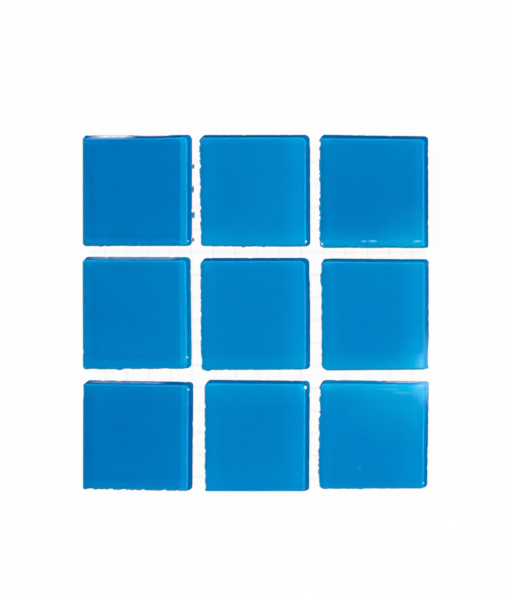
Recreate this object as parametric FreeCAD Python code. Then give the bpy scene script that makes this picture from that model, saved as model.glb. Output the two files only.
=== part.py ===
"""Glass mosaic sheet: square glass tiles laid face up on a net of woven glass fibre, for bedding in adhesive.

Frame: +Z out of the tiles' faces, +X along a row, +Y towards the first row. The origin is the
centre of the sheet's outline, on the plane that the net rests on. Lengths are in millimetres.
"""

import FreeCAD
import Part
import math
import os
from collections import namedtuple

# Tiles
ROWS = 3
COLUMNS = 3
TILE_SIDE = 25.0  # nominal side of one tile
TILE_THICKNESS = 4.0
JOINT = 3.0  # nominal grout joint between neighbours
CORNER_RADIUS = 0.9  # round of the four upright corners
ARRIS_RADIUS = 0.7  # fire-polished round between the face and the sides
BACK_CHAMFER = 0.25  # small cut-edge chamfer round the back

# How each tile was laid and cut, away from nominal: shifts and trims in mm, turn in degrees anticlockwise
Laid = namedtuple("Laid", "shift_x shift_y turn trim_x trim_y", defaults=(0.0, 0.0, 0.0, 0.0, 0.0))
LAYING = {
    (1, 1): Laid(shift_x=0.05, shift_y=0.4, trim_x=0.25, trim_y=0.6),
    (1, 2): Laid(shift_x=0.1, shift_y=0.25, turn=0.2, trim_x=0.15, trim_y=0.55),
    (1, 3): Laid(shift_x=0.05, shift_y=-0.05, turn=-0.2, trim_x=-0.4, trim_y=0.6),
    (2, 1): Laid(shift_x=-0.2, turn=0.4, trim_x=0.1, trim_y=0.75),
    (2, 2): Laid(shift_y=-0.05, turn=0.15, trim_y=0.6),
    (2, 3): Laid(shift_x=0.2, shift_y=-0.1, turn=-0.1, trim_x=-0.65, trim_y=0.3),
    (3, 1): Laid(shift_x=-0.2, shift_y=-0.35, turn=-0.7, trim_x=0.5),
    (3, 2): Laid(shift_x=0.25, shift_y=-0.1, turn=-0.2, trim_x=-1.05, trim_y=0.4),
    (3, 3): Laid(shift_x=-0.3, shift_y=0.4, turn=-0.8, trim_x=-0.25, trim_y=-0.5),
}

# Net of woven glass fibre behind the tiles
STRAND_PITCH = 5.2
STRAND_WIDTH = 0.9
STRAND_THICKNESS = 0.4
NET_INSET = 0.4  # the net is trimmed this far inside the tiles' nominal outline
NET_SHIFT_Y = -1.6  # the weft strands lie this far off the sheet's centre

PITCH = TILE_SIDE + JOINT
SHEET_WIDTH = COLUMNS * PITCH - JOINT
SHEET_HEIGHT = ROWS * PITCH - JOINT


def vector(x, y, z=0.0):
    return FreeCAD.Vector(x, y, z)


def rounded_outline(width, height, radius):
    """Closed wire in the XY plane: a rectangle round the origin with rounded corners."""
    right, top = width / 2, height / 2
    edges = []
    for quarter in range(4):
        across, up = (right, top) if quarter % 2 == 0 else (top, right)
        centre = vector(across - radius, up - radius)
        start = vector(across, up - radius)
        middle = centre + vector(radius * math.cos(math.pi / 4), radius * math.sin(math.pi / 4))
        end = vector(across - radius, up)
        straight = Part.LineSegment(vector(across, radius - up), start).toShape()
        corner = Part.Arc(start, middle, end).toShape()
        for edge in (straight, corner):
            edge.rotate(vector(0, 0), vector(0, 0, 1), 90 * quarter)
            edges.append(edge)
    return Part.Wire(edges)


def edges_at_height(solid, height):
    """The edges of a solid that lie wholly in one level plane."""
    tolerance = 1e-6
    return [
        edge
        for edge in solid.Edges
        if abs(edge.BoundBox.ZMin - height) < tolerance and abs(edge.BoundBox.ZMax - height) < tolerance
    ]


def glass_tile(width, height):
    """One tile with its back at height zero, round the origin."""
    outline = rounded_outline(width, height, CORNER_RADIUS)
    body = Part.Face(outline).extrude(vector(0, 0, TILE_THICKNESS))
    body = body.makeFillet(ARRIS_RADIUS, edges_at_height(body, TILE_THICKNESS))
    return body.makeChamfer(BACK_CHAMFER, edges_at_height(body, 0.0))


def nominal_centre(row, column):
    """Where a tile's centre belongs, with row 1 at the top and column 1 at the left."""
    x = (column - (COLUMNS + 1) / 2) * PITCH
    y = ((ROWS + 1) / 2 - row) * PITCH
    return x, y


def laid_tile(row, column):
    """One tile as it lies on the net."""
    laid = LAYING.get((row, column), Laid())
    tile = glass_tile(TILE_SIDE + laid.trim_x, TILE_SIDE + laid.trim_y)
    tile.rotate(vector(0, 0), vector(0, 0, 1), laid.turn)
    x, y = nominal_centre(row, column)
    tile.translate(vector(x + laid.shift_x, y + laid.shift_y, STRAND_THICKNESS))
    return tile


def strand(length):
    """One flat strand along X, centred on the origin."""
    return Part.makeBox(length, STRAND_WIDTH, STRAND_THICKNESS, vector(-length / 2, -STRAND_WIDTH / 2))


def strand_places(span, shift):
    """Places of the strands across a span centred on zero, at the net's pitch, one of them at shift."""
    room = span / 2 - STRAND_WIDTH / 2
    first = math.ceil((-room - shift) / STRAND_PITCH)
    last = math.floor((room - shift) / STRAND_PITCH)
    return [shift + STRAND_PITCH * step for step in range(first, last + 1)]


def woven_net():
    """Weft strands along X and warp strands along Y, bonded where they cross."""
    net_width = SHEET_WIDTH - 2 * NET_INSET
    net_height = SHEET_HEIGHT - 2 * NET_INSET
    strands = []
    for y in strand_places(net_height, NET_SHIFT_Y):
        weft = strand(net_width)
        weft.translate(vector(0, y, 0))
        strands.append(weft)
    for x in strand_places(net_width, 0.0):
        warp = strand(net_height)
        warp.rotate(vector(0, 0), vector(0, 0, 1), 90)
        warp.translate(vector(x, 0, 0))
        strands.append(warp)
    return strands[0].multiFuse(strands[1:]).removeSplitter()


def sheet_pieces():
    """Every piece of the sheet by name, moved so that the whole outline is centred on the origin."""
    pieces = {"mesh_backing": woven_net()}
    for row in range(1, ROWS + 1):
        for column in range(1, COLUMNS + 1):
            pieces[f"tile_row{row}_column{column}"] = laid_tile(row, column)
    outline = Part.Compound(list(pieces.values())).BoundBox
    to_centre = vector(-outline.Center.x, -outline.Center.y)
    for piece in pieces.values():
        piece.translate(to_centre)
    return pieces


def main():
    os.makedirs("parts", exist_ok=True)
    for name, shape in sheet_pieces().items():
        shape.exportStep(f"parts/{name}.step")
        box = shape.BoundBox
        print(
            f"{name}: {len(shape.Solids)} solid, {len(shape.Faces)} faces, volume {shape.Volume:.1f} mm3, "
            f"x {box.XMin:.2f}..{box.XMax:.2f}, y {box.YMin:.2f}..{box.YMax:.2f}, z {box.ZMin:.2f}..{box.ZMax:.2f}"
        )


main()
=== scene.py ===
"""Looks of a glass mosaic sheet: clear glass chips over a blue coat, bonded on a woven glass-fibre net.

Lengths are in metres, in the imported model's own frame: +Z out of the tiles' faces, +X along a row of tiles,
+Y towards the first row, and the plane that the net rests on at height zero.
"""

import logging
import math
from collections.abc import Callable, Iterator, Sequence
from dataclasses import dataclass, field
from enum import Enum, IntEnum
from functools import cached_property, partial, reduce
from typing import Any

import bpy
from mathutils import Matrix, Vector, noise


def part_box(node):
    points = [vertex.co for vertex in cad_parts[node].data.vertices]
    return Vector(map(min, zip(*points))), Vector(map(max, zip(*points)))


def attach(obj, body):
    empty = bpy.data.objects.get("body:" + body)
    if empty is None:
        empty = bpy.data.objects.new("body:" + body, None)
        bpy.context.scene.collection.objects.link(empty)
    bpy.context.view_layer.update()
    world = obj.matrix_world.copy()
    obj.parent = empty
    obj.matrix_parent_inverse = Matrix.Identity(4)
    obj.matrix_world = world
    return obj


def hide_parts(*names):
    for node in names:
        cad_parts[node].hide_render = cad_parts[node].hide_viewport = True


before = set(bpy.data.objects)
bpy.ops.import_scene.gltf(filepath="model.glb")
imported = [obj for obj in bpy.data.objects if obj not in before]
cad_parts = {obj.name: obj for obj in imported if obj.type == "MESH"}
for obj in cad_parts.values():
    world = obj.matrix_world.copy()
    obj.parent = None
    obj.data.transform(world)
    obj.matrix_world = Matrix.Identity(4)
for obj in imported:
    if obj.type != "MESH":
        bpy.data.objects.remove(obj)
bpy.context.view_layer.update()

log = logging.getLogger("mosaic_sheet")

MM = 0.001
BODY = "root"
Colour = tuple[float, float, float]
Output = bpy.types.NodeSocket
Ring = list[Vector]
WHITE = (1.0, 1.0, 1.0)

# Most grey values of a noise lie between these two
GREYS = (0.3, 0.7)

# Faces that meet at more than this keep a sharp edge between them
SHARP = math.radians(50.0)


class Side(Enum):
    """A side of a tile as it lies on the sheet, with its outward direction in quarter turns from +X."""

    RIGHT = 0
    TOP = 1
    LEFT = 2
    BOTTOM = 3

    @property
    def turn(self) -> float:
        """The angle of the outward direction from +X."""
        return self.value * math.pi / 2.0

    @property
    def outward(self) -> Vector:
        """The outward direction."""
        return Vector((math.cos(self.turn), math.sin(self.turn), 0.0))

    @property
    def distance(self) -> str:
        """The name under which a coat's mesh keeps how far its points lie from this side."""
        return f"from_{self.name.lower()}"


RIGHT, TOP, LEFT, BOTTOM = Side


class Band(IntEnum):
    """The finish of a band of faces on the glass, as the number of its material."""

    POLISHED = 0
    CUT = 1


def mm(*lengths: float) -> tuple[float, ...]:
    """Lengths that are given in millimetres."""
    return tuple(length * MM for length in lengths)


def smooth_step(low: float, high: float, value: float) -> float:
    """Zero below low, one above high, and a smooth rise between them."""
    share = min(max((value - low) / (high - low), 0.0), 1.0)
    return share * share * (3.0 - 2.0 * share)


class NodeSketch:
    """A node tree written down one node at a time, for a finish or for geometry."""

    def __init__(self, tree: bpy.types.NodeTree) -> None:
        """Start from the tree with no nodes in it."""
        tree.nodes.clear()
        self.tree = tree

    def add(self, kind: str, values: dict[str | int, Any] | None = None, **settings: Any) -> bpy.types.Node:
        """Add a node.

        Args:
            kind: The node's type.
            values: What the inputs get, by name or number: a plain value, or another node's output.
            **settings: The node's own properties.

        Returns:
            The new node.
        """
        node = self.tree.nodes.new(kind)
        for name, setting in settings.items():
            setattr(node, name, setting)
        for key, value in (values or {}).items():
            socket = node.inputs[key]
            if isinstance(value, bpy.types.NodeSocket):
                self.tree.links.new(value, socket)
            elif socket.type == "RGBA":
                socket.default_value = (*value, 1.0)
            else:
                socket.default_value = value
        return node

    def output(self, kind: str, values: dict[str | int, Any] | None = None, **settings: Any) -> Output:
        """The first output of a new node."""
        return self.add(kind, values, **settings).outputs[0]

    def math(self, operation: str, *terms: Any) -> Output:
        """The result of a Math node on numbers or outputs."""
        return self.output("ShaderNodeMath", dict(enumerate(terms)), operation=operation)

    def product(self, first: Any, *others: Any) -> Output:
        """The product of several numbers or outputs."""
        return reduce(partial(self.math, "MULTIPLY"), others, first)

    def vector_math(self, operation: str, first: Any, second: Any) -> Output:
        """The vector that a Vector Math node makes of two others."""
        return self.output("ShaderNodeVectorMath", {0: first, 1: second}, operation=operation)

    def split(self, vector: Any) -> Sequence[Output]:
        """The three parts of a vector."""
        return self.add("ShaderNodeSeparateXYZ", {0: vector}).outputs

    def spread(
        self, value: Any, low: float, high: float,
        to_low: float = 0.0, to_high: float = 1.0, kind: str = "LINEAR",
    ) -> Output:
        """The value carried from one range to another, and held at its ends."""
        values = {"Value": value, "From Min": low, "From Max": high, "To Min": to_low, "To Max": to_high}
        return self.output("ShaderNodeMapRange", values, interpolation_type=kind, clamp=True)

    def fall(self, distance: Any, flat: float, reach: float, gain: float, rest: float = 0.0) -> Output:
        """A gain that holds up to a distance and then falls smoothly to what is left at the reach."""
        return self.spread(distance, flat, reach, gain, rest, "SMOOTHSTEP")

    def blend(self, share: Any, first: Any, second: Any, kind: str = "MIX") -> Output:
        """A colour between two others, or their sum or product."""
        values = {0: share, 6: first, 7: second}
        return self.add("ShaderNodeMix", values, data_type="RGBA", blend_type=kind).outputs[2]


class SurfaceSketch(NodeSketch):
    """The nodes of a material's surface."""

    @cached_property
    def place(self) -> Output:
        """The place on the object, in metres."""
        return self.add("ShaderNodeTexCoord").outputs["Object"]

    @cached_property
    def facing(self) -> Sequence[Output]:
        """The three parts of the surface's normal."""
        return self.split(self.add("ShaderNodeNewGeometry").outputs["Normal"])

    @cached_property
    def from_inside(self) -> Output:
        """One where the surface is seen from behind, and zero elsewhere."""
        return self.add("ShaderNodeNewGeometry").outputs["Backfacing"]

    def noise(self, length: float, detail: float = 2.0, seed: float = 0.0) -> Output:
        """The grey value of a noise whose features have about the given length."""
        values = {"Vector": self.place, "Scale": 1.0 / length, "Detail": detail, "W": seed}
        return self.output("ShaderNodeTexNoise", values, noise_dimensions="4D")

    def bump(self, height: Any, depth: float) -> Output:
        """Normals of a surface whose relief has the given depth in metres."""
        return self.output("ShaderNodeBump", {"Height": height, "Strength": 1.0, "Distance": depth})

    def matt(self, colour: Any) -> Output:
        """A matt surface."""
        return self.output("ShaderNodeBsdfDiffuse", {"Color": colour})

    def mixed(self, share: Any, first: Any, second: Any) -> Output:
        """A surface between two others."""
        return self.output("ShaderNodeMixShader", {0: share, 1: first, 2: second})


@dataclass(frozen=True)
class Finish:
    """What every finish has: a name, and a surface made of nodes."""

    name: str

    def surface(self, sketch: SurfaceSketch) -> Output:
        """Build the surface's nodes.

        Args:
            sketch: The material's nodes.

        Returns:
            The output of the surface's shader.
        """
        raise NotImplementedError

    def material(self) -> bpy.types.Material:
        """Make the material of this finish, once.

        Returns:
            The material.
        """
        material = bpy.data.materials.get(self.name)
        if material is None:
            material = bpy.data.materials.new(self.name)
            material.use_nodes = True
            sketch = SurfaceSketch(material.node_tree)
            sketch.add("ShaderNodeOutputMaterial", {"Surface": self.surface(sketch)})
        return material


@dataclass(frozen=True)
class PaintedLightPatch:
    """Painted light on the glass, pale for a highlight and dark for shade: a matt colour over a box-shaped
    stretch, whose ends fade along X, Y and Z.
    """

    low: Sequence[float]
    high: Sequence[float]
    colour: Colour
    cover: float
    fades: Sequence[float] = mm(1.2, 0.01, 0.12)
    patch_length: float = 1.6 * MM
    patch_cover: tuple[float, float] = (0.5, 1.0)

    def over(self, sketch: SurfaceSketch, surface: Output) -> Output:
        """Lay the painted light over a surface.

        Args:
            sketch: The material's nodes.
            surface: The surface under the painted light.

        Returns:
            The covered surface.
        """
        inside = []
        for part, low, high, fade in zip(sketch.split(sketch.place), self.low, self.high, self.fades):
            inside.append(sketch.spread(part, low - fade, low + fade))
            inside.append(sketch.spread(part, high - fade, high + fade, 1.0, 0.0))
        patches = sketch.noise(self.patch_length, detail=3.0, seed=8.0)
        patchy = sketch.spread(patches, 0.3, 0.55, *self.patch_cover)
        return sketch.mixed(sketch.product(self.cover, patchy, *inside), surface, sketch.matt(self.colour))


@dataclass(frozen=True)
class Glow:
    """A round or long patch where the coat is painted paler, strongest inside its core: mostly painted sheen,
    glare and corner highlights.
    """

    centre: Sequence[float]
    core: float
    reach: float
    gain: float
    colour: Colour
    stretch: float = 1.0

    def over(self, sketch: SurfaceSketch, colour: Output) -> Output:
        """Add the glow to a colour.

        Args:
            sketch: The material's nodes.
            colour: The colour without the glow.

        Returns:
            The colour with the glow.
        """
        flat = sketch.vector_math("MULTIPLY", sketch.place, (1.0 / self.stretch, 1.0, 0.0))
        middle = (self.centre[0] / self.stretch, self.centre[1], 0.0)
        away = sketch.add("ShaderNodeVectorMath", {0: flat, 1: middle}, operation="DISTANCE").outputs[1]
        share = sketch.fall(away, self.core, self.reach, self.gain)
        return sketch.blend(1.0, colour, sketch.blend(1.0, share, self.colour, "MULTIPLY"), "ADD")


@dataclass(frozen=True)
class ArrisShade:
    """The darker, greener light in the rounded edges towards -X and -Y, which face away from the glow."""

    colour: Colour = (0.0, 0.21, 0.4)
    outer_colour: Colour = (0.0, 0.19, 0.22)
    corner_colour: Colour = (0.0, 0.1, 0.32)
    cover: float = 0.75
    away: tuple[float, float] = (-0.12, -0.5)
    upward: tuple[float, float] = (0.12, 0.3)
    leftward: tuple[float, float] = (-0.15, -0.4)
    topward: tuple[float, float] = (0.15, 0.4)
    outer_to_inner: Sequence[float] = mm(-36.0, -30.0)

    def over(self, sketch: SurfaceSketch, surface: Output) -> Output:
        """Lay the shade over a surface.

        Args:
            sketch: The material's nodes.
            surface: The surface to shade.

        Returns:
            The shaded surface.
        """
        across, up, out = sketch.facing
        away = sketch.spread(sketch.math("ADD", across, up), *self.away)
        edge = sketch.product(self.cover, away, sketch.spread(out, *self.upward))
        inner = sketch.spread(sketch.split(sketch.place)[0], *self.outer_to_inner)
        colour = sketch.blend(inner, self.outer_colour, self.colour)
        shaded = sketch.mixed(edge, surface, sketch.matt(colour))
        leftward, topward = sketch.spread(across, *self.leftward), sketch.spread(up, *self.topward)
        corner = sketch.product(self.cover, leftward, topward)
        return sketch.mixed(corner, shaded, sketch.matt(self.corner_colour))


@dataclass(frozen=True)
class TileGlass(Finish):
    """What the polished and the cut glass have in common."""

    refraction: float = 1.5
    shade: ArrisShade = ArrisShade()
    painted_lights: tuple[PaintedLightPatch, ...] = ()

    def covered(self, sketch: SurfaceSketch, surface: Output) -> Output:
        """Lay the painted arris shade and the painted light patches over the glass."""
        return reduce(lambda below, cover: cover.over(sketch, below), (self.shade, *self.painted_lights), surface)


@dataclass(frozen=True)
class PolishedGlass(TileGlass):
    """Clear fire-polished glass: the face and the round arris of a tile."""

    tint: Colour = (0.97, 0.99, 1.0)
    ripple_length: float = 5.0 * MM
    ripple_depth: float = 0.004 * MM
    haze_length: float = 9.0 * MM
    roughness: tuple[float, float] = (0.0, 0.03)
    gleam: Colour = (0.1, 0.1, 0.1)
    painted_arris_light: Colour = (0.006, 0.56, 1.0)
    edge_cover: float = 0.47
    edge_turned: tuple[float, float] = (0.99, 0.85)
    edge_above: tuple[float, float] = (0.05, 0.2)
    edge_lit: tuple[float, float] = (0.95, 1.0)
    edge_patches: tuple[float, float] = (0.75, 1.1)
    edge_patch_length: float = 7.0 * MM

    def surface(self, sketch: SurfaceSketch) -> Output:
        """Glass with a faint ripple and a haze that comes and goes, and a painted light of matt blue on its
        arris.

        Args:
            sketch: The material's nodes.

        Returns:
            The output of the surface's shader.
        """
        haze = sketch.noise(self.haze_length, detail=4.0, seed=2.0)
        clear = sketch.output("ShaderNodeBsdfPrincipled", {
            "Base Color": self.tint,
            "Roughness": sketch.spread(haze, 0.45, 0.75, *self.roughness),
            "IOR": self.refraction,
            "Specular Tint": self.gleam,
            "Transmission Weight": 1.0,
            "Normal": sketch.bump(sketch.noise(self.ripple_length, detail=1.0), self.ripple_depth),
        })
        # Painted light: a matt blue on the arris stands in for the light that the glass carries there
        painted_arris_glow = sketch.matt(self.painted_arris_light)
        return self.covered(sketch, sketch.mixed(self.arris_share(sketch), clear, painted_arris_glow))

    def arris_share(self, sketch: SurfaceSketch) -> Output:
        """How much of the painted arris light shows: most on the arris towards +X and +Y, none on the flat
        face.

        Args:
            sketch: The material's nodes.

        Returns:
            The share.
        """
        across, up, out = sketch.facing
        lit = sketch.spread(sketch.math("ADD", across, up), -0.5, 0.4, *self.edge_lit)
        patchy = sketch.spread(sketch.noise(self.edge_patch_length, seed=5.0), 0.35, 0.65, *self.edge_patches)
        turned, above = sketch.spread(out, *self.edge_turned), sketch.spread(out, *self.edge_above)
        return sketch.product(self.edge_cover, turned, above, lit, patchy)


@dataclass(frozen=True)
class CutGlass(TileGlass):
    """The scored and ground sides of a tile."""

    tint: Colour = (0.9, 0.97, 1.0)
    scored: Colour = (0.62, 0.73, 0.87)
    painted_glancing_shade: Colour = (0.0, 0.03, 0.07)
    grain_length: float = 0.5 * MM
    grain_depth: float = 0.005 * MM
    roughness: tuple[float, float] = (0.02, 0.12)
    inner_roughness: tuple[float, float] = (0.0, 0.04)

    def surface(self, sketch: SurfaceSketch) -> Output:
        """Refraction from outside with a near-black matt at glancing angles, painted shade in place of a
        reflection, and a mirror from inside, as any side of glass is.

        Args:
            sketch: The material's nodes.

        Returns:
            The output of the surface's shader.
        """
        grain = sketch.noise(self.grain_length, detail=5.0)
        through = sketch.output("ShaderNodeBsdfRefraction", {
            "Color": self.scored,
            "Roughness": sketch.spread(grain, *GREYS, *self.roughness),
            "IOR": self.refraction,
            "Normal": sketch.bump(grain, self.grain_depth),
        })
        inside = sketch.output("ShaderNodeBsdfPrincipled", {
            "Base Color": self.tint,
            "Roughness": sketch.spread(grain, *GREYS, *self.inner_roughness),
            "IOR": self.refraction,
            "Transmission Weight": 1.0,
        })
        # Painted shade: at glancing angles a near-black matt takes the place of the reflection
        glance = sketch.output("ShaderNodeFresnel", {"IOR": self.refraction})
        outside = self.covered(sketch, sketch.mixed(glance, through, sketch.matt(self.painted_glancing_shade)))
        return sketch.mixed(sketch.from_inside, outside, inside)


@dataclass(frozen=True)
class PaintedRimLight:
    """Painted light along one side of the tile: how much lighter the coat is made there, towards the rim."""

    side: Side
    gain: float
    flat: float
    reach: float


@dataclass(frozen=True)
class ColourCoat(Finish):
    """The opaque azure coat fused on a tile's back, seen through the glass."""

    colour: Colour = (0.0, 0.36, 0.825)
    strength: float = 1.0
    rim_lights: tuple[PaintedRimLight, ...] = ()
    glows: tuple[Glow, ...] = ()
    cloud: float = 0.04
    cloud_length: float = 14.0 * MM
    grain_length: float = 0.25 * MM
    grain_depth: float = 0.004 * MM
    roughness: tuple[float, float] = (0.45, 0.6)
    seed: float = 0.0

    def surface(self, sketch: SurfaceSketch) -> Output:
        """Enamel that is a little thicker here and there, with a fine grain, painted lighter towards its
        rims, and paler painted patches.

        Args:
            sketch: The material's nodes.

        Returns:
            The output of the surface's shader.
        """
        level: Any = 1.0
        # Painted light: the coat is made lighter near the sides that its rim lights name
        for rim in self.rim_lights:
            distance = sketch.add("ShaderNodeAttribute", attribute_name=rim.side.distance).outputs["Fac"]
            level = sketch.math("ADD", level, sketch.fall(distance, rim.flat, rim.reach, rim.gain))
        clouds = sketch.noise(self.cloud_length, detail=3.0, seed=self.seed)
        level = sketch.math("ADD", level, sketch.spread(clouds, *GREYS, -self.cloud, self.cloud))
        level = sketch.product(level, self.strength)
        blue = sketch.math("SQRT", level)
        lightness = sketch.output("ShaderNodeCombineColor", {0: level, 1: level, 2: blue})
        colour = sketch.blend(1.0, lightness, self.colour, "MULTIPLY")
        for glow in self.glows:
            colour = glow.over(sketch, colour)
        grain = sketch.noise(self.grain_length, seed=self.seed)
        return sketch.output("ShaderNodeBsdfPrincipled", {
            "Base Color": colour,
            "Roughness": sketch.spread(grain, *GREYS, *self.roughness),
            "Specular IOR Level": 0.0,
            "Normal": sketch.bump(grain, self.grain_depth),
        })


@dataclass(frozen=True)
class GlassFibre(Finish):
    """White glass-fibre yarn stiffened with size, which lets light through to what it lies on."""

    light: Colour = (1.0, 1.0, 0.995)
    shade: Colour = (0.98, 0.985, 0.985)
    blotch_length: float = 2.5 * MM
    filament_width: float = 0.08 * MM
    filament_depth: float = 0.004 * MM
    roughness: tuple[float, float] = (0.08, 0.2)
    see_through: float = 0.99
    refraction: float = 1.013
    lowest_facing: float = -0.3

    def surface(self, sketch: SurfaceSketch) -> Output:
        """Fine filaments with blotches of dried size, translucent seen from above and white from below.

        Args:
            sketch: The material's nodes.

        Returns:
            The output of the surface's shader.
        """
        blotches = sketch.noise(self.blotch_length, detail=3.0)
        filaments = sketch.noise(self.filament_width)
        tone = sketch.spread(sketch.product(blotches, filaments), 0.15, 0.4, 1.0, 0.0)
        upwards = sketch.math("GREATER_THAN", sketch.facing[2], self.lowest_facing)
        through = sketch.math("MAXIMUM", upwards, sketch.from_inside)
        return sketch.output("ShaderNodeBsdfPrincipled", {
            "Base Color": sketch.blend(tone, self.light, self.shade),
            "Roughness": sketch.spread(blotches, 0.35, 0.65, *self.roughness),
            "IOR": self.refraction,
            "Transmission Weight": sketch.product(through, self.see_through),
            "Normal": sketch.bump(filaments, self.filament_depth),
        })


@dataclass(frozen=True)
class PaintedGlint(Finish):
    """A painted white glint on the arris, made as a bright grainy lump."""

    light: Colour = (0.86, 0.95, 1.0)
    shade: Colour = (0.45, 0.78, 0.95)
    grain_length: float = 0.15 * MM
    grain_depth: float = 0.02 * MM
    roughness: tuple[float, float] = (0.4, 0.7)

    def surface(self, sketch: SurfaceSketch) -> Output:
        """A bright frosty grain, painted as a highlight.

        Args:
            sketch: The material's nodes.

        Returns:
            The output of the surface's shader.
        """
        grain = sketch.noise(self.grain_length, detail=3.0)
        return sketch.output("ShaderNodeBsdfPrincipled", {
            "Base Color": sketch.blend(sketch.spread(grain, 0.4, 0.7), self.light, self.shade),
            "Roughness": sketch.spread(grain, *GREYS, *self.roughness),
            "Normal": sketch.bump(grain, self.grain_depth),
        })


@dataclass(frozen=True)
class FloorPaper(Finish):
    """Paper that is white to the camera, to gloss and through glass, and keeps a shadow."""

    colour: Colour = (0.9, 0.9, 0.9)
    whiteness: float = 0.93

    def surface(self, sketch: SurfaceSketch) -> Output:
        """A matt white that shines a little where it is looked at.

        Args:
            sketch: The material's nodes.

        Returns:
            The output of the surface's shader.
        """
        path = sketch.add("ShaderNodeLightPath").outputs
        seen = sketch.math("MAXIMUM", path["Is Camera Ray"], path["Is Glossy Ray"])
        seen = sketch.math("MAXIMUM", seen, path["Is Transmission Ray"])
        white = sketch.output("ShaderNodeEmission", {"Color": WHITE, "Strength": 1.0})
        return sketch.mixed(sketch.product(seen, self.whiteness), sketch.matt(self.colour), white)


@dataclass(frozen=True)
class TilePlace:
    """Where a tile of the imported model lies, and how large it is."""

    row: int
    column: int
    centre: Vector
    turn: float
    width: float
    height: float
    back: float
    face: float
    slants: dict[Side, tuple[float, ...]]

    @classmethod
    def of_node(cls, row: int, column: int, slants: dict[Side, tuple[float, ...]]) -> "TilePlace":
        """Read a tile's place from its solid.

        Args:
            row: The tile's row, from 1 at the top.
            column: The tile's column, from 1 at the left.
            slants: How far each side is drawn in at its start and its end, going anticlockwise.

        Returns:
            The tile's place.
        """
        node = cls.node_name(row, column)
        lowest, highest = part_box(node)
        centre = Vector(((lowest[0] + highest[0]) / 2.0, (lowest[1] + highest[1]) / 2.0, 0.0))
        outline = [(vertex.co - centre).to_2d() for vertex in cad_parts[node].data.vertices]
        most, close_enough = math.radians(1.5), math.radians(0.001)
        low, high = -most, most
        while high - low > close_enough:
            third = (high - low) / 3.0
            if sum(cls.spans(outline, low + third)) < sum(cls.spans(outline, high - third)):
                high -= third
            else:
                low += third
        turn = (low + high) / 2.0
        width, height = cls.spans(outline, turn)
        return cls(row, column, centre, turn, width, height, lowest[2], highest[2], slants)

    @staticmethod
    def node_name(row: int, column: int) -> str:
        """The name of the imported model's node for a tile."""
        return f"tile_row{row}_column{column}"

    @staticmethod
    def spans(outline: Sequence[Vector], turn: float) -> tuple[float, float]:
        """Measure an outline once a turn is taken back.

        Args:
            outline: The outline's points.
            turn: The turn.

        Returns:
            Its width and height.
        """
        back = Matrix.Rotation(-turn, 2)
        points = [back @ point for point in outline]
        across = [point.x for point in points]
        up = [point.y for point in points]
        return max(across) - min(across), max(up) - min(up)

    @property
    def node(self) -> str:
        """The name of the tile's node."""
        return self.node_name(self.row, self.column)

    def lay(self, ring: Ring) -> Ring:
        """Points drawn round the origin, taken to the tile's own place and turn."""
        turn = Matrix.Rotation(self.turn, 3, "Z")
        return [turn @ self.slanted(point) + self.centre for point in ring]

    def slanted(self, point: Vector) -> Vector:
        """Move a point with the sides, which weren't all cut square.

        Args:
            point: A point drawn round the origin.

        Returns:
            The point, moved in proportion to how near each side it lies.
        """
        across, up = 2.0 * point.x / self.width, 2.0 * point.y / self.height
        moved = point.copy()
        for side, (start, end) in self.slants.items():
            near, along = ((across, up), (up, -across), (-across, -up), (-up, across))[side.value]
            draw = (start + (end - start) * (along + 1.0) / 2.0) * max(near, 0.0)
            moved -= draw * side.outward
        return moved


@dataclass(frozen=True)
class Spot:
    """A point on an outline, its outward direction, its side and how far along that side it lies."""

    point: Vector
    outward: Vector
    side: Side
    along: float


@dataclass(frozen=True)
class RoundedOutline:
    """A rectangle with rounded corners round the origin, sampled so that insets of it match point for point.

    The corners' radii go anticlockwise from the one between the right side and the top.
    """

    width: float
    height: float
    corners: Sequence[float]
    step: float = 0.2 * MM
    corner_steps: int = 10
    least_radius: float = 0.02 * MM

    def spots(self, inset: float) -> Iterator[Spot]:
        """Walk anticlockwise round the outline drawn in by an inset.

        Args:
            inset: How far the outline is drawn in.

        Yields:
            The outline's points in turn.
        """
        drawn = [max(radius - inset, self.least_radius) for radius in self.corners]
        for side in Side:
            across, up = self.width / 2.0, self.height / 2.0
            if side in (TOP, BOTTOM):
                across, up = up, across
            quarter = Matrix.Rotation(side.turn, 3, "Z")
            length = 2.0 * up - self.corners[side.value - 1] - self.corners[side.value]
            straight = max(round(length / self.step), 2)
            start, end = inset + drawn[side.value - 1] - up, up - inset - drawn[side.value]
            outward = Vector((1.0, 0.0, 0.0))
            for index in range(straight):
                along = start + (end - start) * index / straight
                yield Spot(quarter @ Vector((across - inset, along, 0.0)), quarter @ outward, side, along)
            radius = drawn[side.value]
            for index in range(self.corner_steps):
                angle = math.pi / 2.0 * index / self.corner_steps
                outward = Vector((math.cos(angle), math.sin(angle), 0.0))
                corner = Vector((across - inset - radius, end, 0.0))
                along = end + radius * math.sin(angle)
                yield Spot(quarter @ (corner + radius * outward), quarter @ outward, side, along)

    def ring(self, inset: float, height: float, draw_in: Callable[[Spot], float] | None = None) -> Ring:
        """The outline as points at one height.

        Args:
            inset: How far the outline is drawn in.
            height: The height of its points.
            draw_in: How much further each point is drawn in.

        Returns:
            The points, anticlockwise.
        """
        ring = []
        for spot in self.spots(inset):
            placed = spot.point - spot.outward * (draw_in(spot) if draw_in else 0.0)
            placed.z = height
            ring.append(placed)
        return ring


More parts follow.
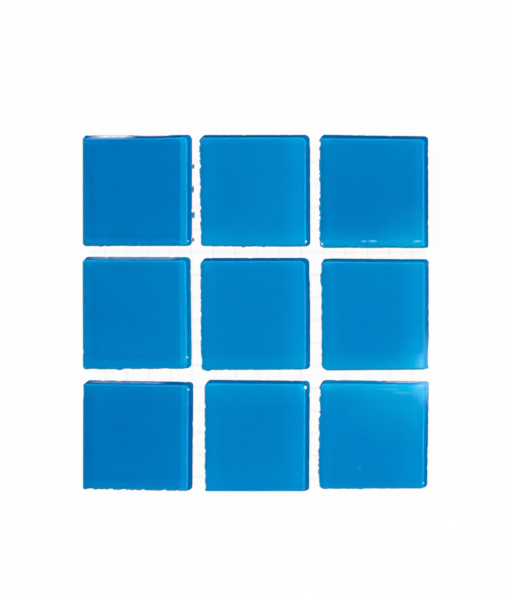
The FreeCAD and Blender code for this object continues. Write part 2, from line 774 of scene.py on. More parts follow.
def skin(
    name: str, rings: Sequence[Ring], finishes: Sequence[Finish], bands: Sequence[int] | None = None,
) -> bpy.types.Object:
    """Join rings of points into a closed mesh, each end closed by a fan.

    Args:
        name: The piece's name.
        rings: Rings of equal length, each anticlockwise seen from above, from the back up.
        finishes: The finishes that the bands point to.
        bands: The finish of each band of faces: the first fan, then between rings, then the last fan. With
            none, all have the first finish.

    Returns:
        The piece, at the origin.
    """
    bands = bands or [0] * (len(rings) + 1)
    count = len(rings[0])
    points = [point for ring in rings for point in ring]
    faces = []
    kinds = []
    for lower in range(len(rings) - 1):
        start, above = lower * count, (lower + 1) * count
        for index in range(count):
            after = (index + 1) % count
            faces.append((start + index, start + after, above + after, above + index))
            kinds.append(bands[lower + 1])
    for ring_index, band in ((0, bands[0]), (len(rings) - 1, bands[-1])):
        hub = len(points)
        points.append(sum(rings[ring_index], Vector()) / count)
        start = ring_index * count
        for index in range(count):
            edge = (start + (index + 1) % count, start + index)
            faces.append((*edge, hub) if ring_index == 0 else (*reversed(edge), hub))
            kinds.append(band)
    mesh = bpy.data.meshes.new(name)
    mesh.from_pydata(points, [], faces)
    for finish in finishes:
        mesh.materials.append(finish.material())
    mesh.polygons.foreach_set("material_index", kinds)
    mesh.shade_smooth()
    mesh.set_sharp_from_angle(angle=SHARP)
    mesh.update()
    piece = bpy.data.objects.new(name, mesh)
    bpy.context.scene.collection.objects.link(piece)
    return piece


@dataclass(frozen=True)
class EdgeMark:
    """A bite out of a tile's edge, or with a negative depth a swelling of it."""

    side: Side
    along: float
    length: float
    depth: float


@dataclass(frozen=True)
class TileLook:
    """How one tile differs from the others.

    The corners' radii go anticlockwise from the upper right, and the coat's can be larger than the glass's.
    """

    strength: float
    rim_lights: tuple[PaintedRimLight, ...]
    marks: tuple[EdgeMark, ...]
    corners: tuple[float, ...]
    ragged: dict[Side, float]
    slants: dict[Side, tuple[float, ...]]
    coat_corners: tuple[float, ...] = mm(0.0, 0.0, 0.0, 0.0)
    glows: tuple[Glow, ...] = ()
    lean: float = 0.5 * MM
    flare: float = 0.45 * MM
    scored: Colour = (0.62, 0.73, 0.87)


@dataclass
class GlassTile:
    """One clear glass tile and the colour coat on its back."""

    place: TilePlace
    look: TileLook
    painted_lights: tuple[PaintedLightPatch, ...]
    arris: float = 0.7 * MM
    arris_steps: int = 8
    cut_below: float = math.radians(50.0)
    chamfer: float = 0.04 * MM
    wall_levels: Sequence[float] = mm(0.0, 0.15, 0.4, 0.9, 1.6, 2.4)
    back_insets: Sequence[float] = mm(6.0, 1.5)
    face_insets: Sequence[float] = mm(1.0, 1.5, 2.2, 3.2, 5.0, 8.0, 11.0)
    crown: float = 0.03 * MM
    crown_reach: float = 5.0 * MM
    coat_thickness: float = 0.03 * MM
    coat_in_glass: float = 0.005 * MM
    coat_bevel: float = 0.02 * MM
    coat_insets: Sequence[float] = mm(0.5, 1.0, 1.7, 2.3, 3.2, 5.0)
    coat_rag: float = 0.03 * MM
    coat_rag_length: float = 0.4 * MM
    wave: float = 0.03 * MM
    wave_length: float = 6.0 * MM
    chip: float = 0.12 * MM
    chip_length: float = 1.3 * MM
    chip_reach: float = 0.6 * MM
    bite_length: float = 1.1 * MM
    nick_length: float = 0.5 * MM
    nick_share: float = 0.7
    mark_core: float = 0.3
    torn_wall: tuple[float, float] = (0.1, 0.7)
    seed_steps: tuple[float, float] = (7.3, 5.1)
    seed: Vector = field(init=False)

    def __post_init__(self) -> None:
        """Give each tile its own stretch of noise."""
        across, up = self.seed_steps
        self.seed = Vector((across * self.place.column, up * self.place.row, 0.0))

    def outline(self, corners: Sequence[float]) -> RoundedOutline:
        """The tile's outline round the origin, with the given radii at its corners."""
        return RoundedOutline(self.place.width, self.place.height, corners)

    def rough_noise(self, point: Vector, length: float, height: float = 0.0) -> float:
        """Noise from zero to one with features of a given length, the same on every run."""
        place = Vector((point.x, point.y, height)) / length + self.seed
        return 0.5 + 0.5 * noise.noise(place)

    def wall_draw(self, height: float, rough: float = 1.0) -> Callable[[Spot], float]:
        """How the sides wander and chip at one height above the back.

        Args:
            height: The height above the back.
            rough: The share of the wander and of the chips that shows there.

        Returns:
            How far each point of the outline is drawn in.
        """
        high = smooth_step(*self.torn_wall, height / (self.place.face - self.place.back - self.arris))

        def draw_in(spot: Spot) -> float:
            """The wander of the cut, the chips along the back edge, and what is ragged or marked by itself.

            Args:
                spot: A point of the outline.

            Returns:
                How far it is drawn in.
            """
            wander = self.wave * self.rough_noise(spot.point, self.wave_length, height)
            flake = smooth_step(0.55, 0.8, self.rough_noise(spot.point, self.chip_length))
            chipped = self.chip * flake * max(0.0, 1.0 - height / self.chip_reach)
            torn = rough * self.raggedness(spot) + 0.5 * (1.0 + rough) * self.marked(spot)
            return rough * (wander + chipped) + torn * (high if spot.side in (LEFT, BOTTOM) else 1.0)

        return draw_in

    def raggedness(self, spot: Spot) -> float:
        """How far the broken edge of a badly cut side is drawn in.

        Args:
            spot: A point of the outline.

        Returns:
            The distance.
        """
        bites = smooth_step(0.54, 0.64, self.rough_noise(spot.point, self.bite_length, 3.0))
        nicks = smooth_step(0.55, 0.65, self.rough_noise(spot.point, self.nick_length, 5.0))
        return self.look.ragged.get(spot.side, 0.0) * (bites + self.nick_share * nicks)

    def marked(self, spot: Spot) -> float:
        """How far the tile's marks draw in the outline.

        Args:
            spot: A point of the outline.

        Returns:
            The distance.
        """
        depth = 0.0
        for mark in self.look.marks:
            if mark.side is spot.side:
                away = abs(spot.along - mark.along) / (0.5 * mark.length)
                depth += mark.depth * (1.0 - smooth_step(self.mark_core, 1.0, away))
        return depth

    def glass(self) -> bpy.types.Object:
        """Make the tile's glass.

        Returns:
            The glass, a closed body.
        """
        outline = self.outline(self.look.corners)
        back = self.place.back + self.coat_thickness - self.coat_in_glass
        face = self.place.face
        shoulder = face - self.arris
        rings = [outline.ring(inset, back) for inset in self.back_insets]
        bands = [Band.POLISHED] * len(rings)
        for level in self.wall_levels:
            inset = max(0.0, self.chamfer - level)
            rings.append(outline.ring(inset, back + level, self.wall_draw(level)))
            bands.append(Band.CUT if level > 0.0 else Band.POLISHED)
        for index in range(self.arris_steps + 1):
            angle = math.pi / 2.0 * index / self.arris_steps
            inset = self.arris * (1.0 - math.cos(angle))
            draw = self.wall_draw(shoulder - back, 1.0 - index / self.arris_steps)
            height = shoulder + self.arris * math.sin(angle) - self.fall(inset)
            rings.append(outline.ring(inset, height, draw))
            bands.append(Band.CUT if angle < self.cut_below else Band.POLISHED)
        rings += [outline.ring(inset, face - self.fall(inset)) for inset in self.face_insets]
        bands += [Band.POLISHED] * (len(self.face_insets) + 1)
        laid = [self.place.lay(self.leant(ring)) for ring in rings]
        polished = PolishedGlass("polished_glass", painted_lights=self.painted_lights)
        name = f"cut_glass_{self.place.row}_{self.place.column}"
        sides = CutGlass(name, scored=self.look.scored, painted_lights=self.painted_lights)
        return skin(f"{self.place.node}_glass", laid, (polished, sides), bands)

    def leant(self, ring: Ring) -> Ring:
        """A ring once the cut along the top has leant in and the foot of the upper left corner has flared.

        Args:
            ring: Points of one height, round the origin.

        Returns:
            The points, moved in proportion to their place.
        """
        share = min((ring[0].z - self.place.back) / (self.place.face - self.arris - self.place.back), 1.0)
        moved = []
        for point in ring:
            left = max(-2.0 * point.x / self.place.width, 0.0)
            top = max(2.0 * point.y / self.place.height, 0.0)
            flared = point.x - self.look.flare * (1.0 - share) * left * top * top
            moved.append(Vector((flared, point.y - self.look.lean * share * top, point.z)))
        return moved

    def fall(self, inset: float) -> float:
        """How far the crowned face lies below its top at a distance from the edge."""
        share = max(0.0, 1.0 - inset / self.crown_reach)
        return self.crown * share * share

    def coat_draw(self, spot: Spot) -> float:
        """How far the coat stops short of the tile's outline."""
        fine = self.rough_noise(spot.point, self.coat_rag_length, 5.0)
        return self.wall_draw(0.0)(spot) + self.coat_rag * fine

    def colour_coat(self) -> bpy.types.Object:
        """Make the coat.

        Returns:
            The coat, a thin closed body with a ragged rim, its top just inside the glass.
        """
        outline = self.outline([max(pair) for pair in zip(self.look.corners, self.look.coat_corners)])
        bottom = self.place.back
        top = bottom + self.coat_thickness
        rings = [
            outline.ring(self.coat_insets[-1], bottom),
            outline.ring(self.coat_bevel, bottom, self.coat_draw),
            outline.ring(0.0, bottom + 0.5 * self.coat_thickness, self.coat_draw),
            outline.ring(self.coat_bevel, top, self.coat_draw),
            *(outline.ring(inset, top) for inset in self.coat_insets),
        ]
        name = f"colour_coat_{self.place.row}_{self.place.column}"
        seed = 3.0 * self.place.row + self.place.column
        look = self.look
        coat = ColourCoat(name, strength=look.strength, rim_lights=look.rim_lights, glows=look.glows, seed=seed)
        laid = [self.place.lay(self.leant(ring)) for ring in rings]
        piece = skin(f"{self.place.node}_colour_coat", laid, (coat,))
        self.keep_distances(piece, [point for ring in rings for point in ring])
        return piece

    def keep_distances(self, piece: bpy.types.Object, points: Sequence[Vector]) -> None:
        """Keep on a mesh how far its points lie from each side of the tile.

        Args:
            piece: The coat, whose first points are the given ones and whose last are the hubs of its fans.
            points: The same points before the tile was laid.
        """
        across, up = self.place.width / 2.0, self.place.height / 2.0
        flat = (*points, Vector(), Vector())
        for side, half in zip(Side, (across, up, across, up)):
            outward = side.outward
            layer = piece.data.attributes.new(side.distance, "FLOAT", "POINT")
            layer.data.foreach_set("value", [half - point.dot(outward) for point in flat])

    def build(self) -> list[bpy.types.Object]:
        """Make both pieces and put them in the tile's place.

        Returns:
            The glass and the coat.
        """
        pieces = [self.glass(), self.colour_coat()]
        for piece in pieces:
            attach(piece, BODY)
        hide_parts(self.place.node)
        return pieces


@dataclass(frozen=True)
class Blob:
    """A small lump on a tile's edge: a teal lump, or a painted white glint."""

    name: str
    centre: Vector
    half_size: Vector
    uneven: float = 0.25
    slices: int = 9
    around: int = 18

    def build(self, finish: Finish) -> bpy.types.Object:
        """Make the lump.

        Args:
            finish: Its finish.

        Returns:
            The lump, in its place.
        """
        rings = []
        for index in range(self.slices):
            angle = math.pi * (index + 0.5) / self.slices
            ring = []
            for step in range(self.around):
                turn = 2.0 * math.pi * step / self.around
                across, up = math.sin(angle) * math.cos(turn), math.sin(angle) * math.sin(turn)
                way = Vector((across, up, -math.cos(angle)))
                swell = 1.0 + self.uneven * noise.noise(2.0 * way + self.centre / MM)
                sideways = Vector((way.x * self.half_size.x, way.y * self.half_size.y, 0.0))
                ring.append(self.centre + sideways * swell)
                ring[-1].z += way.z * self.half_size.z
            rings.append(ring)
        piece = skin(self.name, rings, (finish,))
        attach(piece, BODY)
        return piece


class GeometryRecipe(NodeSketch):
    """A geometry tree with named inputs, run once to make a plain mesh."""

    def __init__(self, name: str, inputs: dict[str, float | int]) -> None:
        """Start a tree.

        Args:
            name: The tree's name.
            inputs: The named inputs and the values that they get.
        """
        super().__init__(bpy.data.node_groups.new(name, "GeometryNodeTree"))
        self.inputs = inputs
        self.identifiers = {}
        for title, value in inputs.items():
            kind = "NodeSocketInt" if isinstance(value, int) else "NodeSocketFloat"
            socket = self.tree.interface.new_socket(title, in_out="INPUT", socket_type=kind)
            self.identifiers[title] = socket.identifier
        self.tree.interface.new_socket("Geometry", in_out="OUTPUT", socket_type="NodeSocketGeometry")
        self.given = self.add("NodeGroupInput").outputs

    def vector(self, x: Any = 0.0, y: Any = 0.0, z: Any = 0.0) -> Output:
        """A vector from three numbers or outputs."""
        return self.output("ShaderNodeCombineXYZ", {0: x, 1: y, 2: z})

    def row(self, count: Any, start: Any, step: Any) -> Output:
        """Points in a row."""
        return self.output("GeometryNodeMeshLine", {"Count": count, "Start Location": start, "Offset": step})

    def moved(self, geometry: Any, offset: Any) -> Output:
        """A geometry whose points are moved by an offset."""
        return self.output("GeometryNodeSetPosition", {"Geometry": geometry, "Offset": offset})

    def on_points(self, points: Any, instance: Any) -> Output:
        """Copies of a geometry on points, realized."""
        copies = self.output("GeometryNodeInstanceOnPoints", {"Points": points, "Instance": instance})
        return self.output("GeometryNodeRealizeInstances", {0: copies})

    def join(self, *parts: Any) -> Output:
        """Join several geometries into one.

        Args:
            *parts: The outputs that hold them.

        Returns:
            The output that holds the whole.
        """
        joined = self.add("GeometryNodeJoinGeometry")
        for part in parts:
            self.tree.links.new(part, joined.inputs[0])
        return joined.outputs[0]

    def run(self, name: str, geometry: Any, finish: Finish) -> bpy.types.Object:
        """Finish the tree and turn what it makes into a plain mesh.

        Args:
            name: The piece's name.
            geometry: The output that holds the geometry.
            finish: The finish of all its faces.

        Returns:
            The piece, with no modifier left on it.
        """
        whole = self.output("GeometryNodeRealizeInstances", {0: geometry})
        smooth = self.output("GeometryNodeSetShadeSmooth", {0: whole})
        dressed = self.output("GeometryNodeSetMaterial", {0: smooth, "Material": finish.material()})
        self.add("NodeGroupOutput", {0: dressed})
        piece = bpy.data.objects.new(name, bpy.data.meshes.new(f"{name}_start"))
        bpy.context.scene.collection.objects.link(piece)
        modifier = piece.modifiers.new(name, "NODES")
        modifier.node_group = self.tree
        for title, value in self.inputs.items():
            modifier[self.identifiers[title]] = value
        seen = piece.evaluated_get(bpy.context.evaluated_depsgraph_get())
        mesh = bpy.data.meshes.new_from_object(seen)
        piece.modifiers.clear()
        piece.data = mesh
        mesh.name = name
        return piece


@dataclass
class WovenNet:
    """The net behind the tiles: flat wefts along X, held between pairs of warp yarns that twist along Y.

    The warp's widths are shares of the strand's width, and heights and the lift are shares of the thickness.
    """

    finish: Finish = GlassFibre("glass_fibre")
    pitch: float = 5.2 * MM
    strand_width: float = 0.8 * MM
    thickness: float = 0.4 * MM
    weft_yarns: int = 3
    weft_shift: float = -1.6 * MM
    weft_spacing: float = 1.3 * MM
    weft_overlap: float = 1.15
    weft_height: float = 0.34
    weft_bend: float = 6.0 * MM
    warp_width: float = 0.46
    warp_height: float = 0.36
    warp_sway: float = 0.27
    warp_lift: float = 0.30
    warp_bend: float = 7.0 * MM
    rings_per_pitch: int = 10
    edge_room: float = 0.45 * MM
    end_room: float = 0.1 * MM
    stray: float = 0.16 * MM

    def __post_init__(self) -> None:
        """Read the net's place from its solid, and start its recipe."""
        self.low, self.high = (Vector(corner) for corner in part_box("mesh_backing"))
        self.centre = (self.low + self.high) / 2.0
        wefts, first_weft = self.strand_rows(1, self.weft_shift)
        warps, first_warp = self.strand_rows(0, 0.0)
        self.recipe = GeometryRecipe("woven_net", {
            "Pitch": self.pitch,
            "Strand Width": self.strand_width,
            "Thickness": self.thickness,
            "Wefts": wefts,
            "First Weft": first_weft,
            "Warps": warps,
            "First Warp": first_warp,
            "Seed": 4.0,
        })

    def strand_rows(self, axis: int, shift: float) -> tuple[int, float]:
        """How many strands lie across one axis, and where the first is.

        Args:
            axis: The axis that the strands are counted along.
            shift: Where one of the strands lies, off the net's centre.

        Returns:
            The count and the first strand's place.
        """
        room = (self.high - self.low)[axis] / 2.0 - self.edge_room
        first = math.ceil((-room - shift) / self.pitch)
        last = math.floor((room - shift) / self.pitch)
        return last - first + 1, self.centre[axis] + shift + first * self.pitch

    def build(self) -> bpy.types.Object:
        """Weave the net.

        Returns:
            The net, in place of its solid.
        """
        net = self.recipe.run("woven_net", self.recipe.join(self.wefts(), self.warps()), self.finish)
        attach(net, BODY)
        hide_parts("mesh_backing")
        return net

    def strand_curve(self, axis: int, spacing: float) -> Output:
        """A straight curve from end to end of the net, halfway through its thickness.

        Args:
            axis: The axis that it runs along.
            spacing: About how far apart its points are.

        Returns:
            The curve.
        """
        start, end = (Vector((0.0, 0.0, self.centre.z)) for _ in range(2))
        start[axis] = self.low[axis] + self.end_room
        end[axis] = self.high[axis] - self.end_room
        line = self.recipe.output("GeometryNodeCurvePrimitiveLine", {"Start": start, "End": end})
        count = round((end - start).length / spacing) + 1
        return self.recipe.output("GeometryNodeResampleCurve", {"Curve": line, "Count": count})

    def yarn(self, curves: Any, width: Any, height: Any) -> Output:
        """Give curves an oval section.

        Args:
            curves: The curves.
            width: The oval's width.
            height: Its height.

        Returns:
            The yarns' skins.
        """
        recipe = self.recipe
        circle = recipe.output("GeometryNodeCurvePrimitiveCircle", {"Resolution": 8, "Radius": 0.5})
        scale = recipe.vector(width, height, 1.0)
        oval = recipe.output("GeometryNodeTransform", {"Geometry": circle, "Scale": scale})
        values = {"Curve": curves, "Profile Curve": oval, "Fill Caps": True}
        return recipe.output("GeometryNodeCurveToMesh", values)

    def wander(self, curves: Any, length: float) -> Output:
        """Let curves stray a little sideways, as stiffened yarn does.

        Args:
            curves: The curves.
            length: About how far it is from one bend to the next.

        Returns:
            The curves, moved.
        """
        recipe = self.recipe
        place = recipe.output("GeometryNodeInputPosition")
        values = {"Vector": place, "Scale": 1.0 / length, "Detail": 2.0, "W": recipe.given["Seed"]}
        stray = recipe.add("ShaderNodeTexNoise", values, noise_dimensions="4D").outputs[1]
        centred = recipe.vector_math("SUBTRACT", stray, (0.5, 0.5, 0.5))
        return recipe.moved(curves, recipe.vector_math("MULTIPLY", centred, (self.stray, self.stray, 0.0)))

    def wefts(self) -> Output:
        """Lay the flat strands along X, each of some yarns side by side.

        Returns:
            The strands.
        """
        recipe, given = self.recipe, self.recipe.given
        yarn_width = recipe.math("DIVIDE", given["Strand Width"], float(self.weft_yarns))
        first = recipe.vector(y=recipe.product(yarn_width, -(self.weft_yarns - 1) / 2.0))
        yarns = recipe.row(self.weft_yarns, first, recipe.vector(y=yarn_width))
        bundle = recipe.on_points(yarns, self.strand_curve(0, self.weft_spacing))
        start, step = recipe.vector(y=given["First Weft"]), recipe.vector(y=given["Pitch"])
        rows = recipe.row(given["Wefts"], start, step)
        strands = self.wander(recipe.on_points(rows, bundle), self.weft_bend)
        width = recipe.product(yarn_width, self.weft_overlap)
        return self.yarn(strands, width, recipe.product(given["Thickness"], self.weft_height))

    def warps(self) -> Output:
        """Twist the paired yarns along Y, which cross over and under each weft and lie side by side between.

        Returns:
            The yarns.
        """
        recipe, given = self.recipe, self.recipe.given
        curve = self.strand_curve(1, self.pitch / self.rings_per_pitch)
        along = recipe.split(recipe.output("GeometryNodeInputPosition"))[1]
        past_weft = recipe.math("SUBTRACT", along, given["First Weft"])
        turn = recipe.product(recipe.math("DIVIDE", past_weft, given["Pitch"]), math.pi)
        twisted = []
        for hand in (-1.0, 1.0):
            sideways = recipe.product(given["Strand Width"], self.warp_sway * hand, recipe.math("SINE", turn))
            upwards = recipe.product(given["Thickness"], self.warp_lift * hand, recipe.math("COSINE", turn))
            twisted.append(recipe.moved(curve, recipe.vector(x=sideways, z=upwards)))
        start, step = recipe.vector(x=given["First Warp"]), recipe.vector(x=given["Pitch"])
        rows = recipe.row(given["Warps"], start, step)
        strands = self.wander(recipe.on_points(rows, recipe.join(*twisted)), self.warp_bend)
        width = recipe.product(given["Strand Width"], self.warp_width)
        return self.yarn(strands, width, recipe.product(given["Thickness"], self.warp_height))


@dataclass(frozen=True)
class SoftPanel:
    """A soft lamp: a rectangle that shines evenly towards a point."""

    name: str
    centre: Vector
    width: float
    height: float
    radiance: float
    aim: Vector = field(default_factory=Vector)

    def hang(self) -> None:
        """Put the lamp in its place."""
        lamp = bpy.data.lights.new(self.name, "AREA")
        lamp.shape = "RECTANGLE"
        lamp.size = self.width
        lamp.size_y = self.height
        lamp.energy = self.radiance * math.pi * self.width * self.height
        holder = bpy.data.objects.new(self.name, lamp)
        holder.location = self.centre
        holder.rotation_euler = (self.aim - self.centre).to_track_quat("-Z", "Y").to_euler()
        bpy.context.scene.collection.objects.link(holder)


@dataclass
class Studio:
    """The camera, the lamps, the sky and the floor."""

    tilt_right: float = math.radians(14.0)
    tilt_up: float = math.radians(2.0)
    roll: float = math.radians(0.33)
    distance: float = 1.0
    target: Sequence[float] = mm(0.85, 3.10, 4.4)
    pixels_per_metre: float = 4361.7
    frame_height: float = 600.0
    sensor: float = 36.0
    panels: tuple[SoftPanel, ...] = (
        SoftPanel("panel_right", Vector((0.18, 0.0, 0.5)), 0.3, 0.4, 2.6),
        SoftPanel("panel_upper_left", Vector((-0.45, 0.35, 0.55)), 0.3, 0.4, 5.0),
        SoftPanel("panel_front", Vector((0.05, -0.45, 0.5)), 0.4, 0.3, 3.0),
    )
    sky_band: tuple[float, float] = (0.35, 0.85)
    sky_light: tuple[float, float] = (1.0, 0.12)
    floor_size: float = 6.0
    floor_depth: float = -0.02 * MM

    def set_camera(self) -> None:
        """Look down on the sheet, from a little to the right."""
        towards = Vector((math.tan(self.tilt_right), math.tan(self.tilt_up), 1.0)).normalized()
        upright = Vector((math.sin(self.roll), math.cos(self.roll), 0.0))
        right = upright.cross(towards).normalized()
        up = towards.cross(right)
        lens = bpy.data.cameras.new("camera")
        lens.sensor_fit = "VERTICAL"
        lens.sensor_height = self.sensor
        lens.lens = self.pixels_per_metre * self.distance * self.sensor / self.frame_height
        holder = bpy.data.objects.new("camera", lens)
        turn = Matrix((right, up, towards)).transposed().to_4x4()
        holder.matrix_world = Matrix.Translation(Vector(self.target) + towards * self.distance) @ turn
        bpy.context.scene.collection.objects.link(holder)
        bpy.context.scene.camera = holder

    def fill_sky(self) -> None:
        """A sky that is white low down and dark overhead."""
        world = bpy.data.worlds.new("sky")
        bpy.context.scene.world = world
        world.use_nodes = True
        sketch = NodeSketch(world.node_tree)
        rise = sketch.split(sketch.add("ShaderNodeTexCoord").outputs["Generated"])[2]
        level = sketch.fall(rise, *self.sky_band, *self.sky_light)
        glow = sketch.output("ShaderNodeBackground", {"Color": WHITE, "Strength": level})
        sketch.add("ShaderNodeOutputWorld", {"Surface": glow})

    def lay_floor(self) -> None:
        """A plain white floor that keeps the sheet's shadow."""
        half = self.floor_size / 2.0
        mesh = bpy.data.meshes.new("floor")
        quarters = ((-1, -1), (1, -1), (1, 1), (-1, 1))
        corners = [(across * half, up * half, self.floor_depth) for across, up in quarters]
        mesh.from_pydata(corners, [], [(0, 1, 2, 3)])
        mesh.materials.append(FloorPaper("floor_paper").material())
        floor = bpy.data.objects.new("floor", mesh)
        bpy.context.scene.collection.objects.link(floor)

    def build(self) -> None:
        """Set up everything round the object."""
        self.set_camera()
        for panel in self.panels:
            panel.hang()
        self.fill_sky()
        self.lay_floor()


# Paler patches painted in the coats, most of them painted sheen, glare and corner highlights: each has its
# place on the sheet, its core and its reach, its gain and its colour
PALE = (0.2, 0.42, 0.42)
AQUA = (0.004, 0.5, 0.34)
CORNER_GREEN_HIGHLIGHT = (0.0, 0.5, 0.3)
SHEEN = (
    Glow(mm(39.5, -14.2), *mm(0.5, 12.0), 0.24, (0.004, 0.45, 0.3)),
    Glow(mm(40.5, -11.2), *mm(0.8, 3.3), 0.7, PALE),
    Glow(mm(38.5, -12.8), *mm(0.2, 1.1), 0.35, PALE, 4.0),
)
GLARES = (
    Glow(mm(36.0, -15.5), *mm(1.0, 18.0), 0.24, AQUA, 1.1),
    Glow(mm(40.2, -16.0), *mm(1.0, 4.8), 0.6, PALE),
    Glow(mm(40.4, -19.5), *mm(0.3, 2.6), 0.3, PALE),
    Glow(mm(33.2, -16.4), *mm(0.1, 0.55), 0.32, PALE, 8.0),
    Glow(mm(34.6, -18.1), *mm(0.1, 0.5), 0.28, PALE, 6.0),
    Glow(mm(32.0, -17.3), *mm(0.1, 0.4), 0.18, PALE, 8.0),
)
CORNER_SHEEN = Glow(mm(38.8, 17.8), *mm(1.5, 10.0), 0.18, AQUA, 1.2)
TICK = (
    Glow(mm(24.7, -35.7), *mm(0.12, 0.45), 0.35, (0.03, 0.5, 0.3), 1.6),
    Glow(mm(24.4, -35.2), *mm(0.1, 0.35), 0.3, (0.03, 0.5, 0.3)),
)

# Painted highlights and reflections on the glass, and a painted dark shade along the first tile's bottom
# edge: each has its lowest and highest corner, its colour, its cover and its fades
LILAC = (0.78, 0.68, 0.92)
WHITISH = (0.93, 0.9, 1.0)
PALE_HIGHLIGHT = (0.5, 0.72, 1.0)
PALE_BLUE = (0.07, 0.47, 0.9)
SKY_BLUE = (0.3, 0.66, 0.9)
SPARK = (0.12, 0.64, 1.0)
CYAN = (0.0, 0.4, 0.9)
DEEP_SHADE = (0.0, 0.12, 0.38)
PAINTED_LIGHTS = (
    PaintedLightPatch(mm(-37.6, 40.2, 0.8), mm(-29.2, 41.2, 3.9), WHITISH, 1.0, mm(1.6, 0.01, 0.45)),
    PaintedLightPatch(mm(-33.5, 40.2, 0.3), mm(-30.5, 41.2, 2.0), LILAC, 0.8, mm(1.0, 0.01, 0.12)),
    PaintedLightPatch(mm(-28.5, 40.2, 0.3), mm(-19.0, 41.2, 1.8), LILAC, 0.3),
    PaintedLightPatch(mm(-38.4, 12.0, 0.3), mm(-18.5, 14.0, 3.4), PALE_HIGHLIGHT, 0.5),
    PaintedLightPatch(mm(-38.6, -17.2, 0.3), mm(-22.0, -14.6, 3.4), PALE_HIGHLIGHT, 0.5),
    PaintedLightPatch(mm(31.5, -16.5, 0.3), mm(38.6, -14.6, 2.6), WHITISH, 0.9, mm(1.8, 0.01, 0.12)),
    PaintedLightPatch(mm(38.8, -16.5, 0.3), mm(41.2, -14.6, 4.45), SKY_BLUE, 0.9, mm(0.8, 0.01, 0.12)),
    PaintedLightPatch(mm(39.9, -19.0, 0.3), mm(41.2, -14.6, 3.8), SKY_BLUE, 0.8, mm(0.2, 2.0, 0.12)),
    PaintedLightPatch(mm(40.2, -16.0, 0.3), mm(41.2, -6.5, 4.2), PALE_BLUE, 0.9, mm(0.3, 3.0, 0.12)),
    PaintedLightPatch(mm(26.0, 16.35, 4.2), mm(26.9, 16.75, 4.6), SPARK, 0.7, mm(0.25, 0.08, 0.12)),
    PaintedLightPatch(mm(27.8, 16.4, 4.2), mm(29.4, 16.75, 4.6), SPARK, 0.85, mm(0.3, 0.08, 0.12)),
    PaintedLightPatch(mm(38.2, 16.35, 4.2), mm(39.5, 16.75, 4.6), SPARK, 0.95, mm(0.35, 0.08, 0.12)),
    PaintedLightPatch(mm(32.4, 16.4, 4.2), mm(33.6, 16.75, 4.6), CYAN, 0.4, mm(0.3, 0.08, 0.12)),
    PaintedLightPatch(mm(-17.0, 39.3, 4.0), mm(-16.75, 40.4, 4.6), CYAN, 0.8, mm(0.08, 0.1, 0.12)),
    PaintedLightPatch(mm(-16.9, 39.9, 4.0), mm(-15.7, 40.2, 4.6), CYAN, 0.6, mm(0.2, 0.08, 0.12)),
    PaintedLightPatch(mm(-16.9, 16.5, 4.0), mm(-15.9, 16.9, 4.6), CYAN, 0.7, mm(0.2, 0.08, 0.12)),
    PaintedLightPatch(mm(-39.6, 15.85, 3.9), mm(-17.6, 16.15, 4.6), DEEP_SHADE, 0.6, mm(0.8, 0.12, 0.12)),
)


def rim_lights(side: Side, *rows: tuple[float, float, float]) -> tuple[PaintedRimLight, ...]:
    """Painted rim light along a side, each with its gain, and how far it holds and reaches in millimetres."""
    return tuple(PaintedRimLight(side, gain, *mm(flat, reach)) for gain, flat, reach in rows)


def marks(side: Side, *rows: tuple[float, float, float]) -> tuple[EdgeMark, ...]:
    """Marks on a side, each with its place along the side, its length and its depth in millimetres."""
    return tuple(EdgeMark(side, *mm(*row)) for row in rows)


def slants(*ends: tuple[float, float]) -> dict[Side, tuple[float, ...]]:
    """How far the right, top, left and bottom sides are drawn in at their starts and ends, in millimetres."""
    return {side: mm(*pair) for side, pair in zip(Side, ends)}


# Painted rim light that several tiles share
TOP_NEAR = rim_lights(TOP, (0.32, 1.0, 2.6))
NEAR = TOP_NEAR + rim_lights(LEFT, (0.24, 0.8, 4.2))
COLUMN_ONE = TOP_NEAR + rim_lights(RIGHT, (0.36, 2.3, 2.7), (0.10, 0.0, 25.0))
COLUMN_TWO = NEAR + rim_lights(RIGHT, (0.22, 1.9, 7.0), (0.06, 0.0, 25.0))

